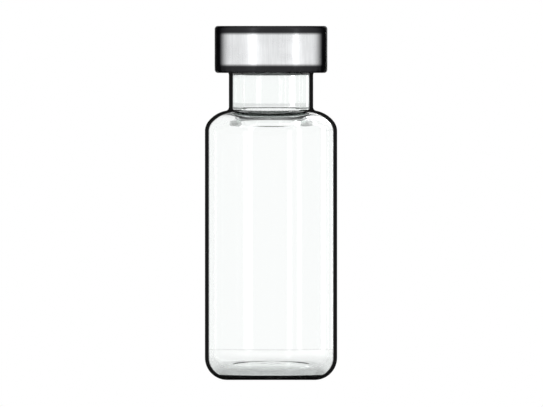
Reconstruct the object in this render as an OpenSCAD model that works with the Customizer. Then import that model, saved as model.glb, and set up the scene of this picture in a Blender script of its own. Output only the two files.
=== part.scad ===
// Crimp-top glass sample vial: a bottle formed from glass tube, a flat rubber septum and a
// crimped aluminium seal. The axis is Z, the vial stands on Z = 0, and all sizes are in mm.

/* [Body] */
// Outside diameter of the glass tube
body_d = 16; // [15:0.25:20]
// Thickness of the wall, kept through the shoulder
body_wall = 1; // [0.7:0.05:1.4]
// Height of the glass, from the foot to the sealing lip
glass_h = 41.15; // [30:0.05:80]

/* [Foot] */
// Outside radius of the heel, where the wall turns into the base
heel_r = 2.7; // [1.5:0.1:3.5]
// Inside radius of the heel
heel_inside_r = 1.9; // [1:0.1:3]
// Thickness of the base
base_t = 1.1; // [0.7:0.05:2]
// Width of the flat ring that the vial stands on
ring_w = 0.5; // [0.3:0.05:1.2]
// Rise of the base inside that ring
push_up = 0.4; // [0.1:0.05:0.8]

/* [Shoulder] */
// Height of the shoulder, from the end of the straight wall to the neck
shoulder_h = 2.55; // [2.2:0.05:3.1]
// Outside radius of the bend from the wall into the shoulder
shoulder_r = 1.95; // [1.5:0.05:2.1]
// How far inside the neck's surface the shoulder's curve is at its highest
crown_inset = 0.3; // [0:0.05:0.6]
// Radius of the bend from the inside of the shoulder into the bore
throat_r = 1; // [0.4:0.05:1.4]

/* [Neck] */
// Outside diameter of the neck
neck_d = 10.2; // [9:0.05:10.8]
// Height of the neck, from the shoulder to the flange
neck_h = 4.7; // [3:0.05:12]
// Radius of the fillet at each end of the neck
neck_fillet_r = 0.45; // [0.2:0.05:0.6]
// Diameter of the bore through the neck
bore_d = 7; // [6:0.05:7.5]

/* [Flange] */
// Diameter of the flange that the seal grips
flange_d = 13; // [12.8:0.05:14]
// Height of the flange
flange_h = 3.8; // [2.5:0.05:5]
// Radius on the outer edges of the flange
flange_edge_r = 0.4; // [0.2:0.05:0.5]
// Radius on the inner edge of the mouth
lip_edge_r = 0.3; // [0.1:0.05:0.8]

/* [Septum] */
// Thickness of the septum under the seal
septum_t = 1.5; // [0.8:0.05:3]
// Gap between the edge of the septum and the corner inside the seal
septum_clearance = 0.025; // [0.01:0.005:0.3]

/* [Seal] */
// Thickness of the aluminium
seal_wall = 0.2; // [0.15:0.01:0.3]
// Outside radius of the bends at the top and bottom of the skirt
seal_bend_r = 0.4; // [0.35:0.05:0.6]
// Gap between the flange and the skirt, all round
seal_clearance = 0.125; // [0.05:0.005:0.3]
// Diameter of the open centre, where the needle goes in
port_d = 7; // [3:0.1:8]
// How far the skirt turns in under the flange, from its outer face
tuck_w = 0.95; // [0.8:0.05:1.1]

/* [Hidden] */
$fn = 128;
// How far the straight steps of a curve may lie from the true arc
arc_error = 0.003;

// Body, neck and flange
body_r = body_d / 2;
cavity_r = body_r - body_wall;
neck_r = neck_d / 2;
bore_r = bore_d / 2;
flange_r = flange_d / 2;
flange_z = glass_h - flange_h;
neck_z = flange_z - neck_h;
shoulder_z = neck_z - shoulder_h;

// The base is a shallow dome of even thickness. Inside, the heel touches the dome and the wall.
ring_x = body_r - heel_r;
dome_x = ring_x - ring_w;
dome_r = (dome_x ^ 2 + push_up ^ 2) / (2 * push_up);
dome_z = push_up - dome_r;
floor_r = dome_r + base_t;
heel_x = cavity_r - heel_inside_r;
heel_z = dome_z + sqrt((floor_r + heel_inside_r) ^ 2 - heel_x ^ 2);
heel_touch = atan2(heel_z - dome_z, heel_x);

// The shoulder is a tight bend off the wall that runs smoothly into a wide one, the crown.
side_x = body_r - shoulder_r;
crown_x = neck_r - crown_inset;
crown_run = side_x - crown_x;
crown_rise = shoulder_h - shoulder_r;
crown_r = shoulder_r + (crown_run ^ 2 + crown_rise ^ 2) / (2 * crown_rise);
crown_z = neck_z - crown_r;
crown_from = acos(crown_run / (crown_r - shoulder_r));

// The crown runs out into a fillet at the foot of the neck, and inside into the throat.
root_x = neck_r + neck_fillet_r;
root_z = crown_z + sqrt((crown_r + neck_fillet_r) ^ 2 - (root_x - crown_x) ^ 2);
root_touch = atan2(root_z - crown_z, root_x - crown_x);
ceiling_r = crown_r - body_wall;
throat_x = bore_r + throat_r;
throat_z = crown_z + sqrt((ceiling_r + throat_r) ^ 2 - (throat_x - crown_x) ^ 2);
throat_touch = atan2(throat_z - crown_z, throat_x - crown_x);

// Septum and seal, fitted to the flange
seal_inside_r = flange_r + seal_clearance;
seal_r = seal_inside_r + seal_wall;
corner_r = seal_bend_r - seal_wall;
septum_r = seal_inside_r - corner_r - septum_clearance;
septum_top_z = glass_h + septum_t;
seal_top_z = septum_top_z + seal_wall;
seal_bottom_z = flange_z - seal_wall;

// Points along an arc about a centre, between two angles in degrees
function arc(centre, r, from, to) =
    let (steps = ceil(abs(to - from) / (2 * acos(1 - arc_error / r))))
    [for (i = [0:steps]) let (a = from + (to - from) * i / steps) centre + r * [cos(a), sin(a)]];

// Half section of the glass: up the outside, over the lip and down the inside.
// Straight runs join the arcs.
glass_outline = concat(
    // under the base and round the heel
    arc([0, dome_z], dome_r, 90, atan2(-dome_z, dome_x)),
    arc([ring_x, heel_r], heel_r, -90, 0),
    // shoulder and neck
    arc([side_x, shoulder_z], shoulder_r, 0, crown_from),
    arc([crown_x, crown_z], crown_r, crown_from, root_touch),
    arc([root_x, root_z], neck_fillet_r, 180 + root_touch, 180),
    arc([root_x, flange_z - neck_fillet_r], neck_fillet_r, 180, 90),
    // flange
    arc([flange_r - flange_edge_r, flange_z + flange_edge_r], flange_edge_r, -90, 0),
    arc([flange_r - flange_edge_r, glass_h - flange_edge_r], flange_edge_r, 0, 90),
    // mouth, bore and throat
    arc([bore_r + lip_edge_r, glass_h - lip_edge_r], lip_edge_r, 90, 180),
    arc([throat_x, throat_z], throat_r, 180, 180 + throat_touch),
    // inside of the shoulder, heel and base
    arc([crown_x, crown_z], ceiling_r, throat_touch, crown_from),
    arc([side_x, shoulder_z], shoulder_r - body_wall, crown_from, 0),
    arc([heel_x, heel_z], heel_inside_r, 0, heel_touch - 180),
    arc([0, dome_z], floor_r, heel_touch, 90)
);

// Half section of the seal. The lower edge of its skirt lies flat under the flange.
seal_outline = concat(
    [[port_d / 2, seal_top_z]],
    arc([seal_r - seal_bend_r, seal_top_z - seal_bend_r], seal_bend_r, 90, 0),
    arc([seal_r - seal_bend_r, seal_bottom_z + seal_bend_r], seal_bend_r, 0, -90),
    [[seal_r - tuck_w, seal_bottom_z], [seal_r - tuck_w, flange_z]],
    arc([seal_inside_r - corner_r, flange_z + corner_r], corner_r, -90, 0),
    arc([seal_inside_r - corner_r, septum_top_z - corner_r], corner_r, 0, 90),
    [[port_d / 2, septum_top_z]]
);

module glass_vial() {
    color("lightcyan", 0.5) rotate_extrude() polygon(glass_outline);
}

module septum() {
    color("whitesmoke") translate([0, 0, glass_h]) cylinder(h = septum_t, r = septum_r);
}

module crimp_seal() {
    color("silver") rotate_extrude() polygon(seal_outline);
}

glass_vial();
septum();
crimp_seal();
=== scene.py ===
from math import acos, atan2, ceil, cos, degrees, hypot, pi, radians, sin, sqrt

import bmesh
import bpy
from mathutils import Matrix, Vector
from mathutils.noise import noise


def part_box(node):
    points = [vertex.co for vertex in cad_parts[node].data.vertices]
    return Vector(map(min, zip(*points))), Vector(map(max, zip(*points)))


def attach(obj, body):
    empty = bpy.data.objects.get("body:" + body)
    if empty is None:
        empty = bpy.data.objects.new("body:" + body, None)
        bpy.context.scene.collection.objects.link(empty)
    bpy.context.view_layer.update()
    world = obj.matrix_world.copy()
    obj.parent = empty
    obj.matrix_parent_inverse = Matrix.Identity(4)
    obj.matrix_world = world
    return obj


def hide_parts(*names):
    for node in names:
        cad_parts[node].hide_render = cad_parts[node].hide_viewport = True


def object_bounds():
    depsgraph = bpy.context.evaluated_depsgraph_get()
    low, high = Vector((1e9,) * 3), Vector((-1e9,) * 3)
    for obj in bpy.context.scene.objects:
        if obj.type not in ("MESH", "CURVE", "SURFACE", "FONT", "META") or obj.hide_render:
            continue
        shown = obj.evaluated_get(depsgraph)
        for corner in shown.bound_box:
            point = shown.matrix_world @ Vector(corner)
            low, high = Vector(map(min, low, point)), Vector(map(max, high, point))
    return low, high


mm = 0.001  # sizes below are in metres, written as so many mm

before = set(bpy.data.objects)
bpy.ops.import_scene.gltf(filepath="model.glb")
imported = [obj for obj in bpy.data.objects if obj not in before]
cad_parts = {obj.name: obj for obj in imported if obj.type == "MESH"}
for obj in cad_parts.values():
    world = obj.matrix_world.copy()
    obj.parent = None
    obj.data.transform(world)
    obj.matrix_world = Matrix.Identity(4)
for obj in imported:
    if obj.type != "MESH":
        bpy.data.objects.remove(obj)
cadLow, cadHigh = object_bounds()
middle = (cadLow + cadHigh) / 2
vialBox, septumBox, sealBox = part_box("glass_vial"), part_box("septum"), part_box("crimp_seal")
print("frame loaded:", ", ".join(sorted(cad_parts)))

# short ways to write the materials; mat may also be the world


def newMaterial(name):
    mat = bpy.data.materials.new(name)
    mat.use_nodes = True
    return mat, mat.node_tree.nodes["Principled BSDF"]


def put(mat, value, socket):
    if isinstance(value, bpy.types.NodeSocket):
        mat.node_tree.links.new(value, socket)
    else:
        socket.default_value = value


def maths(mat, operation, a, b):
    node = mat.node_tree.nodes.new("ShaderNodeMath")
    node.operation = operation
    put(mat, a, node.inputs[0])
    put(mat, b, node.inputs[1])
    return node.outputs[0]


def ramp(mat, value, low, high, atLow=0.0, atHigh=1.0):
    node = mat.node_tree.nodes.new("ShaderNodeMapRange")
    node.interpolation_type = "SMOOTHSTEP"
    put(mat, value, node.inputs["Value"])
    for name, number in zip(("From Min", "From Max", "To Min", "To Max"), (low, high, atLow, atHigh)):
        node.inputs[name].default_value = number
    return node.outputs["Result"]


def mix(mat, factor, a, b):
    node = mat.node_tree.nodes.new("ShaderNodeMix")
    node.data_type = "RGBA"
    put(mat, factor, node.inputs["Factor"])
    put(mat, a, node.inputs[6])  # 6 and 7 are this node's colour inputs
    put(mat, b, node.inputs[7])
    return node.outputs[2]  # and 2 is its colour output


def grain(mat, size, stretch=(1, 1, 1), detail=3):
    # noise whose blotches are about size across, drawn out along an axis by stretch; it lies
    # mostly between 0.3 and 0.7, so the ramps on it start and end near there
    nodes = mat.node_tree.nodes
    place = nodes.new("ShaderNodeTexCoord")
    scale = nodes.new("ShaderNodeMapping")
    scale.inputs["Scale"].default_value = [1 / (size * s) for s in stretch]
    put(mat, place.outputs["Object"], scale.inputs["Vector"])
    node = nodes.new("ShaderNodeTexNoise")
    node.inputs["Scale"].default_value = 1.0
    node.inputs["Detail"].default_value = detail
    put(mat, scale.outputs["Vector"], node.inputs["Vector"])
    return node.outputs["Fac"]


def relief(mat, height, depth):
    node = mat.node_tree.nodes.new("ShaderNodeBump")
    node.inputs["Strength"].default_value = 1.0
    node.inputs["Distance"].default_value = depth
    put(mat, height, node.inputs["Height"])
    return node.outputs["Normal"]


def heightOf(mat):
    place = mat.node_tree.nodes.new("ShaderNodeTexCoord")
    parts = mat.node_tree.nodes.new("ShaderNodeSeparateXYZ")
    put(mat, place.outputs["Object"], parts.inputs[0])
    return parts.outputs["Z"]


def radiusOf(mat):
    place = mat.node_tree.nodes.new("ShaderNodeTexCoord")
    flat = mat.node_tree.nodes.new("ShaderNodeVectorMath")
    flat.operation = "MULTIPLY"
    put(mat, place.outputs["Object"], flat.inputs[0])
    flat.inputs[1].default_value = (1, 1, 0)
    span = mat.node_tree.nodes.new("ShaderNodeVectorMath")
    span.operation = "LENGTH"
    put(mat, flat.outputs["Vector"], span.inputs[0])
    return span.outputs["Value"]


# camera, floor and light

view = {
    "heightShare": 0.870,  # how much of the view's height the vial takes up
    "aspect": 543 / 407,
    "aside": 0.054 * mm,  # the vial stands this far left of the middle of the view
    "raise": 0.070 * mm,  # and this far above it
    "distance": 250 * mm,
    "nearest": 1 * mm,  # what the camera sees lies between this
    "farthest": 20,  # and this
}

studio = {
    "background": (1, 1, 1, 1),
    "ambient": 0.62,  # what the surroundings give to matt surfaces
    "floorColour": (0.90, 0.90, 0.90, 1),
    "floorRoughness": 0.7,
    "floorShine": 0.2,
    "floorLift": 0.205,  # takes the lit floor up to the white of the background
    "floorRadius": 1.6,
    "floorSides": 96,
    "floorGap": 0.02 * mm,
}

lamps = {  # way round the vial and height in degrees, distance, width, height, watts, shows in metal
    "keyStrip": (-37.5, 22.6, 0.55, 0.065, 0.50, 0.30, True),
    "fillStrip": (52.5, 20.3, 0.62, 0.06, 0.50, 0.25, True),
    "backStrip": (164, 22.6, 0.55, 0.065, 0.50, 0.25, True),
    "topSoft": (150, 66, 0.60, 0.42, 0.42, 0.62, False),
}


def makeCamera():
    data = bpy.data.cameras.new("camera")
    data.type = "ORTHO"
    data.ortho_scale = (cadHigh.z - cadLow.z) / view["heightShare"] * view["aspect"]
    data.clip_start = view["nearest"]
    data.clip_end = view["farthest"]
    camera = bpy.data.objects.new("camera", data)
    camera.location = middle + Vector((view["aside"], -view["distance"], -view["raise"]))
    camera.rotation_euler = (pi / 2, 0, 0)
    bpy.context.scene.collection.objects.link(camera)
    bpy.context.scene.camera = camera


def seenRays(mat):
    # 1 for what the camera sees, also in metal and through glass
    rays = mat.node_tree.nodes.new("ShaderNodeLightPath")
    seen = rays.outputs["Is Camera Ray"]
    for kind in ("Is Glossy Ray", "Is Transmission Ray"):
        seen = maths(mat, "MAXIMUM", seen, rays.outputs[kind])
    return seen


def makeSurroundings():
    world = bpy.data.worlds.new("surroundings")
    bpy.context.scene.world = world
    world.use_nodes = True
    glow = world.node_tree.nodes["Background"]
    glow.inputs["Color"].default_value = studio["background"]
    put(world, ramp(world, seenRays(world), 0, 1, studio["ambient"], 1), glow.inputs["Strength"])


def paleFloor():
    mat, shader = newMaterial("paleFloor")
    nodes = mat.node_tree.nodes
    shader.inputs["Base Color"].default_value = studio["floorColour"]
    shader.inputs["Roughness"].default_value = studio["floorRoughness"]
    shader.inputs["Specular IOR Level"].default_value = studio["floorShine"]
    shader.inputs["Emission Color"].default_value = studio["background"]
    lift = maths(mat, "MULTIPLY", seenRays(mat), studio["floorLift"])
    put(mat, lift, shader.inputs["Emission Strength"])
    # from below the floor is clear, so that the foot can be looked at
    below = nodes.new("ShaderNodeNewGeometry")
    clear = nodes.new("ShaderNodeBsdfTransparent")
    either = nodes.new("ShaderNodeMixShader")
    put(mat, below.outputs["Backfacing"], either.inputs["Fac"])
    put(mat, shader.outputs[0], either.inputs[1])
    put(mat, clear.outputs[0], either.inputs[2])
    put(mat, either.outputs[0], nodes["Material Output"].inputs["Surface"])
    return mat


def makeFloor():
    radius, sides = studio["floorRadius"], studio["floorSides"]
    bm = bmesh.new()
    bmesh.ops.create_circle(bm, cap_ends=True, radius=radius, segments=sides)
    mesh = bpy.data.meshes.new("floor")
    bm.to_mesh(mesh)
    bm.free()
    mesh.materials.append(paleFloor())
    floor = bpy.data.objects.new("floor", mesh)
    floor.location.z = cadLow.z - studio["floorGap"]
    bpy.context.scene.collection.objects.link(floor)


def makeLamps():
    for name, (around, up, distance, width, height, watts, shows) in lamps.items():
        data = bpy.data.lights.new(name, "AREA")
        data.shape = "RECTANGLE"
        data.size = width
        data.size_y = height
        data.energy = watts
        lamp = bpy.data.objects.new(name, data)
        a, e = radians(around), radians(up)
        away = Vector((sin(a) * cos(e), -cos(a) * cos(e), sin(e)))
        lamp.location = middle + away * distance
        lamp.rotation_euler = away.to_track_quat("Z", "Y").to_euler()
        lamp.visible_glossy = shows
        bpy.context.scene.collection.objects.link(lamp)


bpy.context.scene.view_settings.view_transform = "Standard"
makeCamera()
makeSurroundings()
makeFloor()
makeLamps()
print("camera, floor and light are set")

# round pieces: a half section of (radius, height) points, turned about the vial's axis

onAxis = 0.001 * mm  # a point this near the axis is one point, not a ring
runSlack = 0.001  # a run this share over the longest isn't split, and a shorter one is left out


def arc(centre, radius, start, end, step=5):
    # angles in degrees
    count = max(2, ceil(abs(end - start) / step))
    turns = [radians(start + (end - start) * i / count) for i in range(count + 1)]
    return [(centre[0] + radius * cos(a), centre[1] + radius * sin(a)) for a in turns]


def splitRuns(points, longest):
    # more points along the straight runs, and no point twice
    full = [points[0]]
    for (r0, z0), (r1, z1) in zip(points, points[1:]):
        count = ceil(hypot(r1 - r0, z1 - z0) / longest - runSlack)
        for i in range(1, count + 1):
            full.append((r0 + (r1 - r0) * i / count, z0 + (z1 - z0) * i / count))
    return full


def turnPiece(name, outline, sides, shape):
    # shape moves each point, given its radius, height and way round, to a new radius and height
    bm = bmesh.new()
    rings = []
    for r, z in outline:
        if r < onAxis:
            rings.append([bm.verts.new((0, 0, shape(r, z, 0)[1]))])
            continue
        ring = []
        for i in range(sides):
            a = 2 * pi * i / sides
            ringR, ringZ = shape(r, z, a)
            ring.append(bm.verts.new((ringR * cos(a), ringR * sin(a), ringZ)))
        rings.append(ring)
    pairs = list(zip(rings, rings[1:]))
    if len(rings[0]) > 1:
        pairs.append((rings[-1], rings[0]))  # the section is a closed loop
    for a, b in pairs:
        for i in range(sides):
            j = (i + 1) % sides
            corners = [a[i % len(a)], a[j % len(a)], b[j % len(b)], b[i % len(b)]]
            bm.faces.new(list(dict.fromkeys(corners))).smooth = True
    bmesh.ops.recalc_face_normals(bm, faces=bm.faces)
    mesh = bpy.data.meshes.new(name)
    bm.to_mesh(mesh)
    bm.free()
    piece = bpy.data.objects.new(name, mesh)
    bpy.context.scene.collection.objects.link(piece)
    return piece


def settle(piece, node, mat):
    piece.data.materials.append(mat)
    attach(piece, "root")
    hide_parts(node)
    print(piece.name, "is made:", len(piece.data.polygons), "faces")


# painted edge shade: dark edges painted where a round piece is seen edge on

edges = {
    "leastLevel": 0.02,  # a surface whose normal points out less than this has no edge
    "noEdge": -9,  # every view is past this start, so the surface stays clear
    "allEdge": 1.2,  # and no level view gets past this one, so it is painted dark all round
    "outsideRise": 3,  # how soon a bend that turns outwards counts as the outside
}


def edgeMarks(mat):
    marks = mat.node_tree.nodes.new("ShaderNodeAttribute")
    marks.attribute_name = "edge"
    parts = mat.node_tree.nodes.new("ShaderNodeSeparateXYZ")
    put(mat, marks.outputs["Vector"], parts.inputs[0])
    return parts


def edgeShare(mat, softness):
    # 0 where a round surface is seen edge on and the painted edge shade lies, 1 past the width that
    # markEdges gave that painted shade
    parts = edgeMarks(mat)
    weight = mat.node_tree.nodes.new("ShaderNodeLayerWeight")
    weight.inputs["Blend"].default_value = 0.5
    head = maths(mat, "SUBTRACT", 1.0, weight.outputs["Facing"])
    past = maths(mat, "SUBTRACT", maths(mat, "DIVIDE", head, parts.outputs["X"]), parts.outputs["Y"])
    return ramp(mat, past, -0.5 * softness, 0.5 * softness)


def markEdges(piece, width, footZ=None):
    # for each point, how level its normal is, how far it may turn before its painted edge shade
    # starts, and whether it is on the outside
    marks = piece.data.attributes.new("edge", "FLOAT_VECTOR", "POINT")
    for v in piece.data.vertices:
        out = Vector((v.co.x, v.co.y, 0))
        r = out.length
        level = v.normal.dot(out) / r if r > 0 else 0
        if level < edges["leastLevel"]:
            marks.data[v.index].vector = (1, edges["noEdge"], 0)
            continue
        share = max(0, 1 - width / level / r)
        start = sqrt(1 - share**2)
        # the painted edge shade runs all round the foot
        if footZ is not None and v.co.z < footZ + width:
            start = edges["allEdge"]
        marks.data[v.index].vector = (level, start, min(1, edges["outsideRise"] * level))


# the glass vial

glass = {
    "wall": 1.0 * mm,
    "heelRadius": 2.7 * mm,
    "heelInsideRadius": 1.9 * mm,
    "baseThickness": 1.1 * mm,
    "ringWidth": 0.5 * mm,
    "pushUp": 0.4 * mm,
    "shoulderHeight": 2.55 * mm,
    "shoulderRadius": 1.95 * mm,
    "crownInset": 0.3 * mm,
    "throatRadius": 1.0 * mm,
    "neckRadius": 5.1 * mm,
    "neckHeight": 4.7 * mm,
    "filletRadius": 0.45 * mm,
    "boreRadius": 3.5 * mm,
    "flangeRadius": 6.5 * mm,
    "flangeHeight": 3.8 * mm,
    "flangeEdge": 0.4 * mm,
    "lipEdge": 0.3 * mm,
    "sides": 220,
    "longestRun": 0.8 * mm,
    "domeStep": 0.6,  # degrees from point to point on the base
    "edgeStep": 10,  # and on the small edges and fillets
    "wallReach": 0.01 * mm,  # points this near the inside of the wall waver with it
    "wander": 0.02 * mm,  # how much it wavers
    "wanderRound": 1.6,  # how busy that is round the wall
    "streaks": 0.004 * mm,  # finer lines left along it when the tube was drawn
    "streaksRound": 7,
    "drawnLength": 60 * mm,  # both change slowly along the tube
    "baseRipple": 0.012 * mm,  # rings left in the base where the tube was closed
    "ripplePitch": 1.5 * mm,
    "rippleReach": 0.6,  # share of the inside's radius that they cover
    "paintedEdgeWidth": 0.51 * mm,  # width of the painted shade down each side, where the wall is seen edge on
    "edgeFade": 0.06,
    # near-black colour of the painted shade where the wall is seen edge on
    "paintedEdgeShade": (0.014, 0.014, 0.014, 1),
    "clearColour": (1, 1, 1, 1),
    "shine": 0.5,
    "ior": 1.473,
    "tint": (0.80, 0.88, 0.85, 1),
    "tintDensity": 110,
}


def glassOutline():
    g = glass
    bodyR, top = vialBox[1].x, vialBox[1].z
    edge, lip, neckFillet = g["flangeEdge"], g["lipEdge"], g["filletRadius"]
    flangeR, boreR = g["flangeRadius"], g["boreRadius"]
    domeStep, edgeStep = g["domeStep"], g["edgeStep"]
    cavityR = bodyR - g["wall"]
    flangeZ = top - g["flangeHeight"]
    neckZ = flangeZ - g["neckHeight"]
    shoulderZ = neckZ - g["shoulderHeight"]
    # the base is a shallow dome, and the inside of the heel touches it and the wall
    ringX = bodyR - g["heelRadius"]
    domeX = ringX - g["ringWidth"]
    domeR = (domeX**2 + g["pushUp"] ** 2) / (2 * g["pushUp"])
    domeZ = g["pushUp"] - domeR
    floorR = domeR + g["baseThickness"]
    heelX = cavityR - g["heelInsideRadius"]
    heelZ = domeZ + sqrt((floorR + g["heelInsideRadius"]) ** 2 - heelX**2)
    heelTouch = degrees(atan2(heelZ - domeZ, heelX))
    # a tight bend off the wall runs into a wide one, the crown, which meets the neck
    sideX = bodyR - g["shoulderRadius"]
    crownX = g["neckRadius"] - g["crownInset"]
    crownRun = sideX - crownX
    crownRise = g["shoulderHeight"] - g["shoulderRadius"]
    crownR = g["shoulderRadius"] + (crownRun**2 + crownRise**2) / (2 * crownRise)
    crownZ = neckZ - crownR
    crownFrom = degrees(acos(crownRun / (crownR - g["shoulderRadius"])))
    rootX = g["neckRadius"] + neckFillet
    rootZ = crownZ + sqrt((crownR + neckFillet) ** 2 - (rootX - crownX) ** 2)
    rootTouch = degrees(atan2(rootZ - crownZ, rootX - crownX))
    ceilingR = crownR - g["wall"]
    throatX = boreR + g["throatRadius"]
    throatZ = crownZ + sqrt((ceilingR + g["throatRadius"]) ** 2 - (throatX - crownX) ** 2)
    throatTouch = degrees(atan2(throatZ - crownZ, throatX - crownX))
    outside = (
        arc((0, domeZ), domeR, 90, degrees(atan2(-domeZ, domeX)), domeStep)
        + arc((ringX, g["heelRadius"]), g["heelRadius"], -90, 0)
        + arc((sideX, shoulderZ), g["shoulderRadius"], 0, crownFrom)
        + arc((crownX, crownZ), crownR, crownFrom, rootTouch)
        + arc((rootX, rootZ), neckFillet, 180 + rootTouch, 180, edgeStep)
        + arc((rootX, flangeZ - neckFillet), neckFillet, 180, 90, edgeStep)
        + arc((flangeR - edge, flangeZ + edge), edge, -90, 0, edgeStep)
        + arc((flangeR - edge, top - edge), edge, 0, 90, edgeStep)
    )
    inside = (
        arc((boreR + lip, top - lip), lip, 90, 180, edgeStep)
        + arc((throatX, throatZ), g["throatRadius"], 180, 180 + throatTouch)
        + arc((crownX, crownZ), ceilingR, throatTouch, crownFrom)
        + arc((sideX, shoulderZ), g["shoulderRadius"] - g["wall"], crownFrom, 0)
        + arc((heelX, heelZ), g["heelInsideRadius"], 0, heelTouch - 180)
        + arc((0, domeZ), floorR, heelTouch, 90, domeStep)
    )
    return splitRuns(outside + inside, g["longestRun"])


def hotFormed(r, z, a):
    # the outside runs true, and the inside of the wall and of the base waver a little
    g = glass
    cavityR = vialBox[1].x - g["wall"]
    if abs(r - cavityR) < g["wallReach"]:
        along = z / g["drawnLength"]
        wide, fine = g["wanderRound"], g["streaksRound"]
        waver = noise(Vector((wide * cos(a), wide * sin(a), along)))
        streak = noise(Vector((fine * cos(a), fine * sin(a), along)))
        return r + g["wander"] * waver + g["streaks"] * streak, z
    reach = g["rippleReach"] * cavityR
    if r < reach and g["baseThickness"] < z < 2 * g["baseThickness"]:
        fade = (1 - r / reach) ** 2
        return r, z + g["baseRipple"] * fade * cos(2 * pi * r / g["ripplePitch"])
    return r, z


def clearGlass():
    g = glass
    mat, shader = newMaterial("clearGlass")
    side = mat.node_tree.nodes.new("ShaderNodeNewGeometry")
    # painted shade: where the wall is seen edge on it turns near black and lets no light through
    clear = maths(mat, "MAXIMUM", edgeShare(mat, g["edgeFade"]), side.outputs["Backfacing"])
    put(mat, mix(mat, clear, g["paintedEdgeShade"], g["clearColour"]), shader.inputs["Base Color"])
    put(mat, clear, shader.inputs["Transmission Weight"])
    put(mat, ramp(mat, clear, 0, 1, 0, g["shine"]), shader.inputs["Specular IOR Level"])
    shader.inputs["Roughness"].default_value = 0.0
    shader.inputs["IOR"].default_value = g["ior"]
    absorb = mat.node_tree.nodes.new("ShaderNodeVolumeAbsorption")
    absorb.inputs["Color"].default_value = g["tint"]
    absorb.inputs["Density"].default_value = g["tintDensity"]
    put(mat, absorb.outputs[0], mat.node_tree.nodes["Material Output"].inputs["Volume"])
    return mat


vial = turnPiece("vialGlass", glassOutline(), glass["sides"], hotFormed)
# the painted edge shade also runs all round the foot
markEdges(vial, glass["paintedEdgeWidth"], cadLow.z)
settle(vial, "glass_vial", clearGlass())

# the septum

septum = {
    "edgeRadius": 0.15 * mm,
    "edgeStep": 15,
    "bulge": 0.12 * mm,  # how far the squeezed rubber stands up in the seal's open centre
    "lowerShare": 0.5,  # and the share of that by which it stands down in the vial's mouth
    "bulgeRadius": 3.4 * mm,
    "gap": 0.01 * mm,
    "sides": 160,
    "longestRun": 0.25 * mm,
    "rubber": (0.34, 0.345, 0.35, 1),
    "speckSize": 0.25 * mm,
    "speckShade": 0.85,  # share of the rubber's colour that the specks in it keep
    "speckDepth": 0.01 * mm,
    "smoothest": 0.55,
    "roughest": 0.75,
    "pressed": (0.20, 0.203, 0.206, 1),  # painted shade in a ring near the seal's open centre and under its metal rim
    "rimShadeWidth": 0.35 * mm,
    "liner": (0.86, 0.86, 0.85, 1),
    "linerThickness": 0.15 * mm,
    "linerFade": 0.02 * mm,
}


def septumOutline():
    s = septum
    low, high = septumBox
    r, e, step = high.x, s["edgeRadius"], s["edgeStep"]
    bottom, top = low.z + s["gap"], high.z - s["gap"]
    points = [(0, bottom)]
    points += arc((r - e, bottom + e), e, -90, 0, step)
    points += arc((r - e, top - e), e, 0, 90, step)
    points.append((0, top))
    return splitRuns(points, s["longestRun"])


def squeezed(r, z, a):
    s = septum
    low, high = septumBox
    share = max(0, 1 - (r / s["bulgeRadius"]) ** 2) ** 1.5
    if z > (low.z + high.z) / 2:
        return r, z + s["bulge"] * share
    return r, z - s["lowerShare"] * s["bulge"] * share


def mattRubber():
    s = septum
    mat, shader = newMaterial("mattRubber")
    linerTop = septumBox[0].z + s["linerThickness"]
    aboveLiner = ramp(mat, heightOf(mat), linerTop, linerTop + s["linerFade"])
    speckle = grain(mat, s["speckSize"], detail=4)
    shade = tuple(s["speckShade"] * c for c in s["rubber"][:3]) + (1,)
    body = mix(mat, ramp(mat, speckle, 0.35, 0.65), shade, s["rubber"])
    # painted shade: the rubber is darker in a ring at the edge of the seal's open centre and under
    # the metal
    rimShade = ramp(mat, radiusOf(mat), s["bulgeRadius"] - s["rimShadeWidth"], s["bulgeRadius"])
    body = mix(mat, rimShade, body, s["pressed"])
    put(mat, mix(mat, aboveLiner, s["liner"], body), shader.inputs["Base Color"])
    put(mat, ramp(mat, speckle, 0.3, 0.7, s["smoothest"], s["roughest"]), shader.inputs["Roughness"])
    put(mat, relief(mat, speckle, s["speckDepth"]), shader.inputs["Normal"])
    return mat


disc = turnPiece("septumDisc", septumOutline(), septum["sides"], squeezed)
settle(disc, "septum", mattRubber())

# the crimped seal

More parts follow.
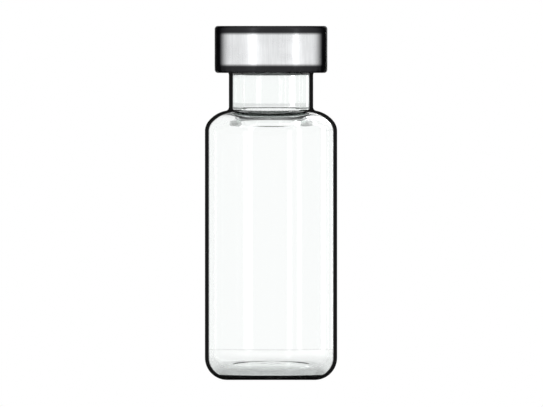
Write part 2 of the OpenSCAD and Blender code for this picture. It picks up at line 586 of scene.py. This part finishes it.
seal = {
    "wall": 0.2 * mm,
    "bendRadius": 0.4 * mm,
    "port": 3.5 * mm,
    "portEdge": 0.05 * mm,
    "tuck": 0.95 * mm,
    "gap": 0.01 * mm,
    "dish": 0.03 * mm,  # the top dips this much towards the open centre
    "flatRim": 0.8 * mm,  # but not this near its side
    "pleats": 40,
    "pleatDepth": 0.05 * mm,
    "leastPleat": 0.35,  # share of that depth between the pleats
    "pleatDrift": 2,  # how far, in radians of a pleat, they stray from even spacing
    "driftRound": 3,  # and how often round the seal
    "pressed": 0.95 * mm,  # height of the band that the crimping jaws closed on
    "sides": 320,
    "bendStep": 9,
    "insideStep": 15,
    "portStep": 22,
    "longestRun": 0.3 * mm,
    "sharpCorner": 50,  # corners of more degrees than this stay crisp
    "metal": (0.86, 0.87, 0.88, 1),
    "dull": (0.79, 0.80, 0.81, 1),
    "cloudSize": 2.2 * mm,
    "smoothest": 0.24,
    "roughest": 0.36,
    "lined": (0.70, 0.71, 0.72, 1),
    "rolledLines": 0.16 * mm,  # left across the sheet when it was rolled
    "rolledStretch": (14, 1, 14),
    "drawnLines": 0.20 * mm,  # left down the skirt when it was drawn
    "drawnStretch": (1, 1, 18),
    "drawnShare": 0.6,  # how strong they are against those on the top
    "drawnDepth": 0.002 * mm,
    "topTint": (1, 1, 1, 1),
    "skirtTint": (0.25, 0.25, 0.25, 1),  # the skirt mirrors this much of the light at a glance
    # near-black colour of the painted shade on the skirt
    "dark": (0.03, 0.03, 0.032, 1),
    "paintedEdgeWidth": 1.12 * mm,  # width of the painted shade down its sides, where the metal is seen edge on
    "edgeFade": 0.3,
    "paintedEndWidth": 0.97 * mm,  # and of the painted shade at the top and the foot of its skirt
    "endFade": 0.44 * mm,
}


def sealOutline():
    s = seal
    low, high = sealBox
    r, bottom, top = high.x, low.z, high.z
    bend, wall, e = s["bendRadius"], s["wall"], s["portEdge"]
    inner = bend - wall
    edgeX = r - s["tuck"]
    insideTop = top - wall + s["gap"]
    insideBottom = bottom + wall - s["gap"]
    points = arc((s["port"] + e, top - e), e, 180, 90, s["portStep"])
    points += arc((r - bend, top - bend), bend, 90, 0, s["bendStep"])
    points += arc((r - bend, bottom + bend), bend, 0, -90, s["bendStep"])
    points += arc((edgeX + e, bottom + e), e, 270, 180, s["portStep"])
    points += [(edgeX, insideBottom)]
    points += arc((r - wall - inner, insideBottom + inner), inner, -90, 0, s["insideStep"])
    points += arc((r - wall - inner, insideTop - inner), inner, 0, 90, s["insideStep"])
    points += [(s["port"], insideTop)]
    return splitRuns(points, s["longestRun"])


def crimped(r, z, a):
    s = seal
    low, high = sealBox
    share = min(1, max(0, (low.z + s["pressed"] - z) / s["pressed"]))
    share = share * share * (3 - 2 * share)
    around = s["driftRound"]
    uneven = noise(Vector((around * cos(a), around * sin(a), 0.5)))
    pleat = 0.5 - 0.5 * cos(s["pleats"] * a + s["pleatDrift"] * uneven)
    inward = s["pleatDepth"] * share * (s["leastPleat"] + (1 - s["leastPleat"]) * pleat)
    flatR = high.x - s["flatRim"]
    centre = max(0, (flatR - r) / (flatR - s["port"]))
    down = s["dish"] * centre**2 if z > high.z - 2 * s["wall"] else 0
    return r - inward, z - down


def satinAluminium():
    s = seal
    mat, shader = newMaterial("satinAluminium")
    low, high = sealBox
    z = heightOf(mat)
    onSkirt = edgeMarks(mat).outputs["Z"]
    onTop = maths(mat, "SUBTRACT", 1.0, onSkirt)
    cloud = grain(mat, s["cloudSize"])
    rolled = grain(mat, s["rolledLines"], s["rolledStretch"])
    drawn = grain(mat, s["drawnLines"], s["drawnStretch"])
    topLines = maths(mat, "MULTIPLY", onTop, ramp(mat, rolled, 0.35, 0.7))
    skirtLines = maths(mat, "MULTIPLY", onSkirt, ramp(mat, drawn, 0.35, 0.7, 0, s["drawnShare"]))
    metal = mix(mat, ramp(mat, cloud, 0.3, 0.7), s["dull"], s["metal"])
    metal = mix(mat, maths(mat, "MAXIMUM", topLines, skirtLines), metal, s["lined"])
    # painted shade at both ends of the skirt, and down its sides where it is seen edge on
    wide = s["paintedEndWidth"] + s["endFade"] / 2
    narrow = s["paintedEndWidth"] - s["endFade"] / 2
    topEndShade = ramp(mat, z, high.z - wide, high.z - narrow)
    footEndShade = ramp(mat, z, low.z + narrow, low.z + wide, 1, 0)
    band = maths(mat, "MULTIPLY", maths(mat, "MAXIMUM", topEndShade, footEndShade), onSkirt)
    clear = maths(mat, "MULTIPLY", edgeShare(mat, s["edgeFade"]), maths(mat, "SUBTRACT", 1.0, band))
    put(mat, mix(mat, clear, s["dark"], metal), shader.inputs["Base Color"])
    shader.inputs["Metallic"].default_value = 1.0
    put(mat, mix(mat, onSkirt, s["topTint"], s["skirtTint"]), shader.inputs["Specular Tint"])
    put(mat, ramp(mat, cloud, 0.25, 0.75, s["smoothest"], s["roughest"]), shader.inputs["Roughness"])
    put(mat, relief(mat, drawn, s["drawnDepth"]), shader.inputs["Normal"])
    return mat


cap = turnPiece("crimpSeal", sealOutline(), seal["sides"], crimped)
cap.data.set_sharp_from_angle(angle=radians(seal["sharpCorner"]))
markEdges(cap, seal["paintedEdgeWidth"])
settle(cap, "crimp_seal", satinAluminium())
